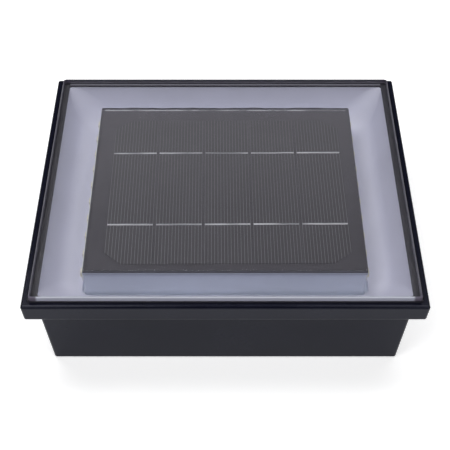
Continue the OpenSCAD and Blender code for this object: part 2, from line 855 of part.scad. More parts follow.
module service_cover() {
    color("#33343a")
    difference() {
        union() {
            translate([0, opening_y, cover_sink]) linear_extrude(cover_t)
                rounded_rect(cover_w, cover_l, cover_corner_r);
            translate([button_x, button_y, cover_sink])
                cylinder(d = well_d + 2 * well_wall, h = well_top - cover_sink);
        }
        translate([0, opening_y, cover_top - groove_depth])
            difference() {
                linear_extrude(groove_depth + 1)
                    rounded_rect(opening_w + 2 * (seal_in + cover_seal_w + seal_play),
                        opening_l + 2 * (seal_in + cover_seal_w + seal_play), cover_corner_r);
                translate([0, 0, -eps]) linear_extrude(groove_depth + 2)
                    rounded_rect(opening_w + 2 * (seal_in - seal_play),
                        opening_l + 2 * (seal_in - seal_play), cover_corner_r - cover_seal_w);
            }
        translate([button_x, button_y, cover_sink - eps]) cylinder(d = well_d, h = well_depth + eps);
        translate([button_x, button_y, 0]) cylinder(d = stem_d + 2 * stem_play, h = well_top + 1);
        for (at = cover_screw_places)
            translate([at.x, at.y, 0]) {
                cylinder(d = screw_d + 4 * screw_play, h = cover_top + 1);
                translate([0, 0, cover_sink - eps])
                    cylinder(d = head_d + 0.6, h = cover_t - cover_seat_t + eps);
            }
    }
}

module cover_seal() {
    color("#b8442e")
    translate([0, opening_y, cover_top - groove_depth])
        difference() {
            linear_extrude(cover_recess - cover_top + groove_depth)
                rounded_rect(opening_w + 2 * (seal_in + cover_seal_w),
                    opening_l + 2 * (seal_in + cover_seal_w), cover_corner_r - seal_play);
            translate([0, 0, -eps]) linear_extrude(groove_depth + 2)
                rounded_rect(opening_w + 2 * seal_in, opening_l + 2 * seal_in,
                    cover_corner_r - cover_seal_w + seal_play);
        }
}

// A screw seen from its head, with the head's face at the origin and its shank towards +Z
module screw(d, head, thick, shank) {
    difference() {
        union() {
            cylinder(d = head, h = thick);
            cylinder(d = d, h = thick + shank);
        }
        for (a = [0, 90])
            rotate([0, 0, a])
                translate([-0.3 * head, -0.09 * head, -eps]) cube([0.6 * head, 0.18 * head, 0.5 * thick]);
    }
}

module cover_screws() {
    color("#b4b4b8")
    for (at = cover_screw_places)
        translate([at.x, at.y, cover_top - cover_seat_t - cover_head_h])
            screw(screw_d, head_d, cover_head_h, cover_screw_l);
}

module carrier_screws() {
    color("#b4b4b8")
    for (at = carrier_screw_places)
        translate([at.x, at.y, sink_depth - head_h]) screw(screw_d, head_d, head_h, carrier_screw_l);
}

module screw_seals() {
    color("#26262a")
    for (at = carrier_screw_places)
        translate([at.x, at.y, sink_depth])
            difference() {
                cylinder(d = washer_d, h = washer_t);
                translate([0, 0, -eps]) cylinder(d = screw_d + 2 * screw_play, h = washer_t + 1);
            }
}

module board_screws() {
    color("#b4b4b8")
    for (at = board_screw_places)
        translate([at.x, at.y, board_z - small_head_h])
            screw(small_screw_d, small_head_d, small_head_h, board_screw_l);
}

module holder_screws() {
    color("#b4b4b8")
    for (at = holder_screw_places)
        translate([at.x, at.y, ear_z - holder_base_t - small_head_h])
            screw(small_screw_d, small_head_d, small_head_h, holder_screw_l);
}

// A lead from a to b. It leaves a upwards with the given rise, bends over and comes into b
// straight along way_b.
lead_rings = 12;
panel_lead_rise = 6;
battery_lead_rise = 2.5;
solder_gap = 0.05;
lead_tail = plate_t + tape_t + 0.6;
function bend(a, b, rise, way_b, t) =
    let (u = 1 - t, p = a + [0, 0, rise], q = b - 0.4 * norm(b - a) * way_b)
    u * u * u * a + 3 * u * u * t * p + 3 * u * t * t * q + t * t * t * b;
module lead(a, b, rise, way_b) {
    turn = b - lead_tail * way_b;
    path = concat([for (i = [0 : lead_rings]) bend(a, turn, rise, way_b, i / lead_rings)], [b]);
    ways = [for (i = [0 : lead_rings + 1])
        i == 0 ? [0, 0, 1] : i >= lead_rings ? way_b : unit(path[i + 1] - path[i - 1])];
    tube(path, ways, lead_d / 2, 8);
}

// The four leads of one colour: from their connectors to the two LED boards, the panel and
// the battery's contact plates
module leads(side) {
    off = side * lead_pitch / 2;
    for (s = [0, 1])
        lead([connector_x[3 * s], connector_y + off, connector_z],
            [led_wall[s], connector_y + off, wire_hole_z],
            0.9 * (wire_hole_z - connector_z), [2 * s - 1, 0, 0]);
    lead([connector_x[1] + off, connector_y, connector_z],
        [panel_wire_x + off, panel_wire_y, panel_board_z], panel_lead_rise, [0, 0, 1]);
    end = side > 0 ? bay_half - contact_play - contact_t : -bay_half + contact_play;
    lead([connector_x[2] + off, connector_y, connector_z],
        [end + contact_t / 2, battery_y - contact_w / 2 - solder_gap, battery_z - contact_w / 2 + 1],
        battery_lead_rise, [0, 1, 0]);
}

module red_leads() {
    color("#b82020") leads(1);
}

module black_leads() {
    color("#1c1c1e") leads(-1);
}

housing();
glass_cover();
glass_seal();
reflector_tray();
carrier();
panel_tape();
panel_board();
solar_cells();
busbar_ribbons();
panel_laminate();
led_boards();
led_chips();
control_board();
controller_chips();
inductor();
capacitors();
diode();
resistors();
lead_connectors();
push_switch();
switch_plunger();
power_button();
button_boot();
boot_ring();
battery_cell();
battery_holder();
contact_plates();
contact_spring();
service_cover();
cover_seal();
cover_screws();
carrier_screws();
screw_seals();
board_screws();
holder_screws();
red_leads();
black_leads();
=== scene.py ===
import math

import bpy
import numpy as np
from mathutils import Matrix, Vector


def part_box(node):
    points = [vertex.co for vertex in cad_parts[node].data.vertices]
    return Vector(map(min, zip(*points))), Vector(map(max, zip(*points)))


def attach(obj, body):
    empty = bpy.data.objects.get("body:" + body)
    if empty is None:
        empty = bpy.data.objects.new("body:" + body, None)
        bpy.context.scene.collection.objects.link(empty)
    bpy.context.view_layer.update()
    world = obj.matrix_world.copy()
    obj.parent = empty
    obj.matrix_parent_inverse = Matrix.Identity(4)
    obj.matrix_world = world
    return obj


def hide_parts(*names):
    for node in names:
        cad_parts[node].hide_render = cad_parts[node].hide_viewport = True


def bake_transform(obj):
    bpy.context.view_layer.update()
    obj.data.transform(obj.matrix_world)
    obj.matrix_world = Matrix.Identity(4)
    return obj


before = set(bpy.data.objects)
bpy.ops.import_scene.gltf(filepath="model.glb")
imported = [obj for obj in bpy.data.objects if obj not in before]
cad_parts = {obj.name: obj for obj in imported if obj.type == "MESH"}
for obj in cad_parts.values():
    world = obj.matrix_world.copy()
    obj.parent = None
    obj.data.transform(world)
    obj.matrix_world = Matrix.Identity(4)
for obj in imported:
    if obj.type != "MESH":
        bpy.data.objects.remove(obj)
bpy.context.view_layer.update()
print("frame loaded:", len(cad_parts), "nodes")

mm = 0.001
scene = bpy.context.scene


# Camera

cameraSet = {
    "lens": 108.95,
    "sensor": 36.0,
    "clip": (0.02, 30.0),
    "pitch": 50.605,      # degrees from looking straight down
    "back": 0.5859,       # metres in front of the light's middle
    "height": 0.49725,
    "side": -0.00015,
}


def makeCamera(s):
    data = bpy.data.cameras.new("camera")
    data.lens = s["lens"]
    data.sensor_width = s["sensor"]
    data.clip_start, data.clip_end = s["clip"]
    cam = bpy.data.objects.new("camera", data)
    cam.location = (s["side"], -s["back"], s["height"])
    cam.rotation_euler = (math.radians(s["pitch"]), 0.0, 0.0)
    scene.collection.objects.link(cam)
    scene.camera = cam


makeCamera(cameraSet)


# Shader maths: a Num wraps a number socket, and its operators add Math nodes

class Num:
    def __init__(self, finish, socket):
        self.finish = finish
        self.socket = socket

    def calc(self, operation, *values):
        made = self.finish.add("ShaderNodeMath", {"operation": operation}, dict(enumerate(values)))
        return Num(self.finish, made.outputs[0])

    def __add__(self, other):
        return self.calc("ADD", self, other)

    def __radd__(self, other):
        return self.calc("ADD", other, self)

    def __sub__(self, other):
        return self.calc("SUBTRACT", self, other)

    def __rsub__(self, other):
        return self.calc("SUBTRACT", other, self)

    def __mul__(self, other):
        return self.calc("MULTIPLY", self, other)

    def __rmul__(self, other):
        return self.calc("MULTIPLY", other, self)

    def __abs__(self):
        return self.calc("ABSOLUTE", self)

    def wrap(self, size):
        # what is left once whole sizes are taken away
        return self.calc("WRAP", self, size, 0.0)

    def above(self, edge):
        # 1 where it is above the edge and 0 elsewhere
        return self.calc("GREATER_THAN", self, edge)

    def most(self, other):
        return self.calc("MAXIMUM", self, other)

    def least(self, other):
        return self.calc("MINIMUM", self, other)

    def ramp(self, low, high):
        # 0 at low and 1 at high, eased at both ends
        made = self.finish.add("ShaderNodeMapRange",
                               {"interpolation_type": "SMOOTHSTEP"},
                               {"Value": self, "From Min": low, "From Max": high})
        return Num(self.finish, made.outputs["Result"])


def span(pair, share):
    # from the pair's first number at share 0 to its second at share 1
    return pair[0] + (pair[1] - pair[0]) * share


class Finish:
    # one material: its node tree, its coordinates and its Principled shader

    def __init__(self, name):
        self.material = bpy.data.materials.new(name)
        self.material.use_nodes = True
        self.tree = self.material.node_tree
        self.tree.nodes.clear()
        self.output = self.tree.nodes.new("ShaderNodeOutputMaterial")
        self.shader = self.tree.nodes.new("ShaderNodeBsdfPrincipled")
        self.tree.links.new(self.shader.outputs[0], self.output.inputs[0])
        self.place = self.tree.nodes.new("ShaderNodeTexCoord").outputs["Object"]

    def put(self, socket, value):
        if isinstance(value, Num):
            self.tree.links.new(value.socket, socket)
        elif isinstance(value, bpy.types.NodeSocket):
            self.tree.links.new(value, socket)
        else:
            socket.default_value = value

    def add(self, kind, settings=None, sockets=None):
        # a node of this kind: its settings first, then values or links for its sockets
        made = self.tree.nodes.new(kind)
        for key, value in (settings or {}).items():
            setattr(made, key, value)
        for key, value in (sockets or {}).items():
            self.put(made.inputs[key], value)
        return made

    def set(self, **values):
        # values for the shader's own sockets, with _ for a space
        for key, value in values.items():
            self.put(self.shader.inputs[key.replace("_", " ")], value)

    def axes(self, center=None, turn=0.0):
        # the coordinates, from a center and turned about Z where these are given
        place = self.place
        if center is not None:
            place = self.add("ShaderNodeMapping", {"vector_type": "TEXTURE"},
                             {"Vector": place, "Location": tuple(center),
                              "Rotation": (0.0, 0.0, turn)}).outputs[0]
        made = self.add("ShaderNodeSeparateXYZ", None, {0: place})
        return [Num(self, out) for out in made.outputs]

    def noise(self, scale, detail, rough, stretch=None):
        place = self.place
        if stretch:
            place = self.add("ShaderNodeMapping", None,
                             {"Vector": place, "Scale": stretch}).outputs[0]
        made = self.add("ShaderNodeTexNoise", None,
                        {"Vector": place, "Scale": scale, "Detail": detail, "Roughness": rough})
        return Num(self, made.outputs["Fac"])

    def blend(self, share, low, high, way="MIX"):
        # the color low at share 0 and high at share 1
        made = self.add("ShaderNodeMix", {"data_type": "RGBA", "blend_type": way}, {0: share})
        for index, value in ((6, low), (7, high)):
            self.put(made.inputs[index], (*value, 1.0) if isinstance(value, tuple) else value)
        return made.outputs[2]

    def times(self, color, factor, share=1.0):
        # the color at share 0 and the color times the factor at share 1
        return self.blend(share, color, (factor, factor, factor), "MULTIPLY")

    def bump(self, height, distance, strength):
        made = self.add("ShaderNodeBump", None,
                        {"Height": height, "Distance": distance, "Strength": strength})
        self.set(Normal=made.outputs[0])
        return self


# Shapes: rounded squares stacked into plates or frames

sharpAngle = math.radians(35.0)    # edges turn sharper than this stay crisp


def cornerSigns(q):
    # the signs of x and y at corner q, counted anticlockwise from the back right
    return np.sign(np.cos(np.radians(90.0 * q + 45.0 + np.array([0.0, -90.0]))))


def squareLine(cornerSteps, sideSteps):
    # Around a rounded square, each point is side * (half - radius) + arc * radius, where side
    # is the corner's sign pair, sliding from one corner to the next along a straight side,
    # and arc turns a quarter round at each corner
    sides, arcs = [], []
    for q in range(4):
        turn = np.radians(90.0 * q + np.linspace(0.0, 90.0, cornerSteps + 1))
        here, ahead = cornerSigns(q), cornerSigns(q + 1)
        way = np.linspace(0.0, 1.0, sideSteps + 1)[1:-1, None]
        sides += [np.tile(here, (cornerSteps + 1, 1)), here + (ahead - here) * way]
        arcs += [np.column_stack([np.cos(turn), np.sin(turn)]),
                 np.tile([math.cos(turn[-1]), math.sin(turn[-1])], (len(way), 1))]
    return np.vstack(sides), np.vstack(arcs)


def raised(flat, heights):
    # a grid of points from rows of x and y, each row at its own height
    heights = np.reshape(heights, (-1, 1, 1))
    return np.concatenate([flat, np.broadcast_to(heights, flat.shape[:2] + (1,))], axis=2)


def squareRings(rings, cornerSteps, sideSteps=1):
    # rings: one row of half width, corner radius and height for each ring; gives a grid of
    # points, one row of the grid for each ring
    rings = np.asarray(rings, float)
    sides, arcs = squareLine(cornerSteps, sideSteps)
    half, radius = rings[:, 0, None, None], rings[:, 1, None, None]
    return raised(sides[None] * (half - radius) + arcs[None] * radius, rings[:, 2])


def gridFaces(rows, across, closedRows):
    # quads between neighbouring rows of a grid that is closed across
    count = rows if closedRows else rows - 1
    i, j = np.meshgrid(np.arange(count), np.arange(across), indexing="ij")
    k, n = (j + 1) % across, (i + 1) % rows
    quads = np.stack([i * across + j, i * across + k, n * across + k, n * across + j], axis=-1)
    return quads.reshape(-1, 4).tolist()


def endFaces(rows, across):
    # one flat face on the grid's first row and one on its last
    return [list(range(across))[::-1], list(range((rows - 1) * across, rows * across))]


def makeMesh(name, points, faces, materials, slots=None):
    mesh = bpy.data.meshes.new(name)
    mesh.from_pydata(np.asarray(points).reshape(-1, 3).tolist(), [], faces)
    for finish in materials:
        mesh.materials.append(finish.material)
    if slots is not None:
        mesh.polygons.foreach_set("material_index", np.asarray(slots, np.int32))
    mesh.update()
    mesh.shade_smooth()
    mesh.set_sharp_from_angle(angle=sharpAngle)
    made = bpy.data.objects.new(name, mesh)
    scene.collection.objects.link(made)
    return made


def plate(name, grid, bandSlots, materials):
    # A closed plate: stacked rings from the bottom up, with a flat face on both ends. Each band
    # between two rings has its own material, and the end faces have the first one.
    rows, across = grid.shape[:2]
    slots = np.append(np.repeat(bandSlots, across), [0, 0])
    return makeMesh(name, grid, gridFaces(rows, across, False) + endFaces(rows, across),
                    materials, slots)


def loop(name, grid, finish):
    # A closed frame: a ring of rings, up one side and down the other
    return makeMesh(name, grid, gridFaces(*grid.shape[:2], True), [finish])


# Finish of the plain moulded and metal parts. In this set and all others, a noise is its scale,
# detail and roughness, and a bump is its depth and strength.

plainSet = {
    "cloud": (300.0, 3.0, 0.6),
    "rougher": 0.1,          # more roughness where the cloud is palest
    "bump": (0.02 * mm, 0.4),
}


def plainFinish(name, low, high, roughness, metallic=0.0):
    # two close tones in a fine cloud
    f = Finish(name)
    cloud = f.noise(*plainSet["cloud"])
    f.set(Base_Color=f.blend(cloud, low, high), Metallic=metallic,
          Roughness=roughness + plainSet["rougher"] * cloud)
    return f.bump(cloud, *plainSet["bump"])


def dress(node, finish):
    # a CAD node keeps its shape and gets a finish
    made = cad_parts[node]
    made.data.materials.clear()
    made.data.materials.append(finish.material)


def extent(node):
    # the low and the high corner of a CAD node's box
    low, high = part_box(node)
    return np.array(low), np.array(high)


# Housing

housingSet = {
    "color": (0.0052, 0.0056, 0.0132),
    "worn": (0.0084, 0.0088, 0.0178),
    "cloud": (38.0, 4.0, 0.6),
    "wornSpan": (0.35, 0.75),    # of the cloud, from color to worn
    "roughness": (0.14, 0.20),
    "specular": 0.23,
    "specularTint": (0.83, 0.86, 1.0),
    "grain": (2600.0, 2.0, 0.6),
    "bump": (0.02 * mm, 0.6),
}


def housingFinish(s):
    # dark moulded plastic, paler in clouds, with a fine grain
    f = Finish("housing plastic")
    cloud = f.noise(*s["cloud"])
    f.set(Base_Color=f.blend(cloud.ramp(*s["wornSpan"]), s["color"], s["worn"]),
          Roughness=span(s["roughness"], cloud),
          Specular_IOR_Level=s["specular"], Specular_Tint=(*s["specularTint"], 1.0))
    return f.bump(f.noise(*s["grain"]), *s["bump"])


housingPlastic = housingFinish(housingSet)
dress("housing", housingPlastic)
dress("service_cover", housingPlastic)
print("housing dressed")


# Glass seal

sealSet = {
    "black": ((0.012, 0.0105, 0.019), (0.020, 0.018, 0.030)),
    "paleBackStrip": (0.22, 0.215, 0.26),         # painted light: a paler strip along the back, for the light line seen there through the glass
    "paleStripFrom": (1.4 * mm, 2.8 * mm),    # its edges, in from the glass's edge
    "streak": (260.0, 3.0, 0.6),
    "roughness": (0.35, 0.55),
    "bump": (0.08 * mm, 0.5),
    "band": 4.55 * mm,      # from its outside in to its inner edge
    "flat": 0.42 * mm,      # thickness under the glass
    "bead": 0.9 * mm,       # of its fillet above the rim, against the glass
    "beadLean": 0.25,       # how far its outside leans in, as a share of its height
    "beadPower": 1.6,       # above 1 it hollows the slope
    "beadSteps": 4,
    "gap": 0.05 * mm,       # around the glass
    "radius": 1.5 * mm,
    "cornerSteps": 6,
}


def sealInner():
    # half the width of the seal's opening
    return extent("glass_seal")[1][0] - sealSet["band"]


def sealFinish(s):
    # black, with painted light: a paler strip along the back under the glass, for the light line
    # seen there
    f = Finish("black sealant")
    x, y, z = f.axes()
    streak = f.noise(*s["streak"])
    back = extent("glass_cover")[1][1]
    strip = y.above(back - s["paleStripFrom"][1]) * (back - s["paleStripFrom"][0] - y).above(0.0)
    strip = strip * (sealInner() - abs(x)).above(0.0)
    f.set(Base_Color=f.blend(strip, f.blend(streak, *s["black"]), s["paleBackStrip"]),
          Roughness=span(s["roughness"], streak))
    return f.bump(streak, *s["bump"])


def makeSeal(s):
    # A flat bed under the glass and a bead around it. The bead's outside leans in evenly while
    # it climbs by a power of the same share.
    low, high = extent("glass_seal")
    inner, r, top = sealInner(), s["radius"], low[2] + s["flat"]
    around = extent("glass_cover")[1][0] + s["gap"]
    bead = [(high[0] - s["beadLean"] * s["bead"] * t, r,
             high[2] + s["bead"] * t ** s["beadPower"])
            for t in np.linspace(0.0, 1.0, s["beadSteps"] + 1)]
    rings = [(inner, r, low[2]), (high[0], r, low[2])] + bead + [
        (around, r, high[2] + s["bead"]), (around, r, top), (inner, r, top)]
    piece = loop("glassSeal", squareRings(rings, s["cornerSteps"]), sealFinish(s))
    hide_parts("glass_seal")
    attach(piece, "lamp")


makeSeal(sealSet)
print("seal made")


# Glass cover

glassSet = {
    "tint": (0.972, 0.970, 0.985),
    "ior": 1.5,
    "passed": (0.93, 0.94, 0.94),    # of the lamps' light
    "arris": 0.5 * mm,
    "cornerRadius": 1.5 * mm,
    "cornerSteps": 10,
    "side": ((0.44, 0.45, 0.56), (0.52, 0.53, 0.64)),              # the front one, painted paler as if lit
    "paintedShadeSides": ((0.060, 0.058, 0.075), (0.090, 0.087, 0.11)),     # the other three, painted darker as if shaded
    "low": (0.13, 0.125, 0.16),      # of those three, painted paler behind the rim
    "rimFade": 1.2 * mm,             # from there up to the rim
    "chamfer": ((0.135, 0.132, 0.16), (0.58, 0.60, 0.68)),         # others and front: the front is painted paler, a painted highlight
    "deep": (0.120, 0.105, 0.150),   # painted darker over the sealant, for the dark sealant seen through the glass
    "deepFade": 0.7 * mm,            # either side of the seal's inner edge
    "grit": (900.0, 3.0, 0.5),
    "sideRoughness": (0.45, 0.60),
    "bump": (0.01 * mm, 0.4),
    "frost": (1400.0, 2.0, 0.5),
    "frostRoughness": (0.5, 0.6),
}


def clearFinish(name, s):
    # Smooth and clear. Lamps and soft light pass straight through, so what is under it stays
    # lit.
    f = Finish(name)
    f.set(Base_Color=(*s["tint"], 1.0), Roughness=0.0, IOR=s["ior"], Transmission_Weight=1.0)
    path = f.add("ShaderNodeLightPath")
    share = Num(f, path.outputs["Is Shadow Ray"]).most(Num(f, path.outputs["Is Diffuse Ray"]))
    clear = f.add("ShaderNodeBsdfTransparent", None, {"Color": (*s["passed"], 1.0)})
    mixed = f.add("ShaderNodeMixShader", None,
                  {0: share, 1: f.shader.outputs[0], 2: clear.outputs[0]})
    f.put(f.output.inputs[0], mixed.outputs[0])
    return f


def overSealant(f, s):
    # 1 near the upright corners, where the glass's edges are painted darker for the dark sealant
    # seen through them
    x, y, z = f.axes()
    return abs(x).least(abs(y)).ramp(sealInner() - s["deepFade"], sealInner() + s["deepFade"])


def frontShare(f, s):
    # 1 on the glass's front edge, where it is painted paler as if lit, and 0 on the rest
    x, y, z = f.axes()
    return (0.0 - y).above(extent("glass_cover")[1][1] - 2.0 * s["arris"])


def sideFinish(s):
    # the sides are ground and scatter light; their tones are painted light: the front one paler as
    # if lit, the other three darker as if shaded, paler again below the rim top
    f = Finish("ground glass side")
    grit = f.noise(*s["grit"])
    x, y, z = f.axes()
    rim = extent("housing")[1][2]
    dark = f.blend(z.ramp(rim - s["rimFade"], rim), s["low"], f.blend(grit, *s["paintedShadeSides"]))
    shade = f.blend(frontShare(f, s), dark, f.blend(grit, *s["side"]))
    f.set(Base_Color=f.blend(overSealant(f, s), shade, s["deep"]),
          Roughness=span(s["sideRoughness"], grit))
    return f.bump(grit, *s["bump"])


def arrisFinish(s):
    # the chamfer is frosted; it is painted paler along the front, a painted highlight, and darker
    # over the sealant
    f = Finish("frosted chamfer")
    light = f.blend(frontShare(f, s), *s["chamfer"])
    f.set(Base_Color=f.blend(overSealant(f, s), light, s["deep"]),
          Roughness=span(s["frostRoughness"], f.noise(*s["frost"])))
    return f


def makeGlass(s):
    # A thick plate with a chamfer all round. The outer band of its underside lies on the
    # sealant and shows it.
    low, high = extent("glass_cover")
    half, cut, r = high[0], s["arris"], s["cornerRadius"]
    rings = [(sealInner(), r, low[2]), (half - cut, r, low[2]), (half, r, low[2] + cut),
             (half, r, high[2] - cut), (half - cut, r, high[2])]
    piece = plate("glassCover", squareRings(rings, s["cornerSteps"]), [3, 1, 1, 2],
                  [clearFinish("cover glass", s), sideFinish(s), arrisFinish(s),
                   sealFinish(sealSet)])
    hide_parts("glass_cover")
    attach(piece, "lamp")


makeGlass(glassSet)
print("glass made")


# Reflector tray and carrier

whiteSet = {
    "cloud": (24.0, 3.0, 0.55),
    "cloudSpan": (0.3, 0.7),
    "cloudShade": 0.93,
    "grain": (1500.0, 2.0, 0.5),
    "bump": (0.01 * mm, 0.4),
}

traySet = {
    "color": (0.545, 0.539, 0.662),
    # painted light: the foot is paler, as the flat bottom catches more light
    "foot": (0.700, 0.690, 0.800),
    "pale": 8.0 * mm,               # height over which the painted light of the foot turns into color
    "roughness": 0.45,
    "steps": 48,
    "cornerSteps": 14,
    "thick": 1.2 * mm,
    "footGap": 0.6 * mm,            # out from the panel's edge
    "lap": 0.1 * mm,                # its top stands this far behind the seal's inner edge
    "reach": 8.1 * mm,              # of the curve's handle at the foot, which lies level
    "lean": (4.07 * mm, 7.1 * mm),  # of its handle at the top, in and down
    "radius": 2.0 * mm,             # of the corners at foot and top
    "soft": 15.0 * mm,              # more radius halfway out
}

carrierSet = {
    "color": (0.580, 0.615, 0.715),
    # painted light: paler towards the foot, as in the tray
    "foot": (0.660, 0.700, 0.800),
    "pale": 8.0 * mm,
    "roughness": 0.5,
}


def whiteFinish(name, s, footZ):
    # cloudy white, with painted light: paler at the foot, from footZ down, turning into its own
    # color above
    f = Finish(name)
    x, y, z = f.axes()
    cloud = f.noise(*whiteSet["cloud"]).ramp(*whiteSet["cloudSpan"])
    white = f.blend(z.ramp(footZ, footZ + s["pale"]), s["foot"], s["color"])
    f.set(Base_Color=f.times(white, whiteSet["cloudShade"], cloud), Roughness=s["roughness"])
    return f.bump(f.noise(*whiteSet["grain"]), *whiteSet["bump"])


def makeTray(s):
    # The cove's line is a cubic Bezier curve from the foot to the top, and the back of the
    # sheet is that line moved out by the sheet's thickness along its normal. With share going
    # from 0 at the foot to 1 at the top, the corners' radius is the plain radius plus the soft
    # one times the square root of the sine of share times pi. The clip keeps that sine above 0.
    t = np.linspace(0.0, 1.0, s["steps"] + 1)[:, None]
    u = 1.0 - t
    low, high = extent("reflector_tray")
    a = np.array([max(extent("panel_board")[1][:2]) + s["footGap"], low[2] + s["thick"]])
    d = np.array([sealInner() + s["lap"], high[2]])
    b = a + [s["reach"], 0.0]
    c = d - s["lean"]
    line = u ** 3 * a + 3 * u ** 2 * t * b + 3 * u * t ** 2 * c + t ** 3 * d
    way = 3 * (u ** 2 * (b - a) + 2 * u * t * (c - b) + t ** 2 * (d - c))
    way /= np.linalg.norm(way, axis=1, keepdims=True)
    back = line + s["thick"] * np.column_stack([way[:, 1], -way[:, 0]])
    back[-1] = line[-1] + [s["thick"] / way[-1, 1], 0.0]
    both = np.vstack([line, back[::-1]])
    share = np.clip((both[:, 0] - a[0]) / (d[0] - a[0]), 0.0, 1.0 - 1e-9)
    radius = s["radius"] + s["soft"] * np.sqrt(np.sin(np.pi * share))
    rings = np.column_stack([both[:, 0], radius, both[:, 1]])
    piece = loop("reflectorTray", squareRings(rings, s["cornerSteps"]),
                 whiteFinish("white reflector", s, a[1]))
    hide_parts("reflector_tray")
    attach(piece, "lamp")


makeTray(traySet)
dress("carrier", whiteFinish("white carrier", carrierSet, extent("reflector_tray")[0][2]))
print("tray and carrier made")


# Solar panel

panelSet = {
    # front and back: a painted sheen, paler towards the back
    "front": (0.050, 0.045, 0.055),
    "back": (0.114, 0.107, 0.120),
    "cloud": (90.0, 4.0, 0.6),
    "cloudSpan": (0.35, 0.65),
    "cloudLight": 1.08,      # times the tone, in the clouds
}

cellSet = {
    "dark": 0.72,            # of the silicon against the backing
    "finger": (0.182, 0.172, 0.196),
    "fingers": 15,           # on each strip
    "fingerWidth": 0.15 * mm,
    "stripPitch": 25.5 * mm,    # from strip to strip
    "turn": 0.4,             # degrees, of the cells on the panel
    "roughness": (0.42, 0.32),
    "bump": (0.02 * mm, 0.5),
}


def panelToneWithSheen(f, s):
    # the dark panel is paler towards the back, a painted sheen where it catches more light, and
    # paler in clouds at random
    x, y, z = f.axes()
    low, high = extent("panel_board")
    tone = f.blend(y.ramp(low[1], high[1]), s["front"], s["back"])
    return f.times(tone, s["cloudLight"], f.noise(*s["cloud"]).ramp(*s["cloudSpan"]))


def cellFinish(s):
    # Fingers run along the strips, evenly spaced over all of them, with one on the middle. A
    # point's distance to its finger is its x, wrapped to one pitch and less half a pitch.
    f = Finish("cell silicon")
    low, high = extent("solar_cells")
    x, y, z = f.axes(0.5 * (low + high), math.radians(s["turn"]))
    pitch = s["stripPitch"] / s["fingers"]
    off = abs((x + 0.5 * pitch).wrap(pitch) - 0.5 * pitch)
    line = 1.0 - off.ramp(0.5 * s["fingerWidth"], s["fingerWidth"])
    silicon = f.times(panelToneWithSheen(f, panelSet), s["dark"])
    f.set(Base_Color=f.blend(line, silicon, s["finger"]), Roughness=span(s["roughness"], line))
    return f.bump(line, *s["bump"])


ribbonSet = {
    "colors": ((0.24, 0.24, 0.26), (0.66, 0.65, 0.68)),
    "drawn": (700.0, 3.0, 0.6, (0.08, 1.0, 1.0)),    # and its stretch along the ribbon
    "drawnSpan": (0.35, 0.62),
    "roughness": (0.35, 0.50),
    "bump": (0.02 * mm, 0.5),
}


def ribbonFinish(s):
    # tinned metal with drawing marks along it, bright and dull
    f = Finish("tinned ribbon")
    drawn = f.noise(*s["drawn"]).ramp(*s["drawnSpan"])
    f.set(Base_Color=f.blend(drawn, *s["colors"]), Roughness=span(s["roughness"], drawn))
    return f.bump(drawn, *s["bump"])


boardSet = {
    "edge": (0.42, 0.44, 0.52),
    "skin": 0.1 * mm,        # depth of the dark top
    # line: a painted highlight along the back, broken into glints
    "line": (0.62, 0.61, 0.65),
    "lineFrom": 3.3 * mm,    # in from the back edge
    "lineWidth": 0.8 * mm,
    "lineFade": (0.4, 0.7),  # of its width, from its middle
    "lineEnd": 2.0 * mm,     # in from the side edges
    "highlightGlints": (0.25, 1.0),
    "glintCloud": (55.0, 3.0, 0.6),
    "glintSpan": (0.42, 0.58),
    "roughness": 0.45,
    "grain": (120.0, 3.0, 0.5),
    "bump": (0.02 * mm, 0.3),
}


def backingFinish(s):
    # dark on top, with the pale board showing at its edges, and a painted highlight line along the
    # back, broken into glints, for the laminate's rounded back edge catching light
    f = Finish("panel backing")
    x, y, z = f.axes()
    high = extent("panel_board")[1]
    off = abs(y - (high[1] - s["lineFrom"]))
    line = 1.0 - off.ramp(*(share * s["lineWidth"] for share in s["lineFade"]))
    line = line * (high[0] - s["lineEnd"] - abs(x)).above(0.0)
    line = line * span(s["highlightGlints"], f.noise(*s["glintCloud"]).ramp(*s["glintSpan"]))
    top = z.above(high[2] - s["skin"])
    dark = f.blend(line, panelToneWithSheen(f, panelSet), s["line"])
    f.set(Base_Color=f.blend(top, s["edge"], dark), Roughness=s["roughness"])
    return f.bump(f.noise(*s["grain"]), *s["bump"])


laminateSet = {
    "tint": (0.95, 0.95, 0.97),
    "ior": 1.5,
    "passed": (0.97, 0.97, 0.97),    # of the lamps' light
    "gap": 0.02 * mm,        # above the board
    "round": 0.40 * mm,      # of the upper edge
    "roundSteps": 6,
    "cornerRadius": 1.2 * mm,
    "cornerSteps": 8,
    "sideSteps": 120,
    "sides": [               # axis, sign, and how far the side is drawn in
        (0, -1, 0.9 * mm), (1, 1, 1.1 * mm), (0, 1, 0.7 * mm), (1, -1, 0.1 * mm),
    ],
    "waves": [(5.2 * mm, 0.16), (1.9 * mm, 0.10)],    # length over 2 pi, and size
    "soft": 6.0 * mm,        # how far in from a side its points still move
    "cut": ((0.12, 0.12, 0.135), (0.17, 0.17, 0.19), 0.5),    # its edge's tones and roughness
    "cutBands": 4,           # bands from the bottom up that show the cut edge
}


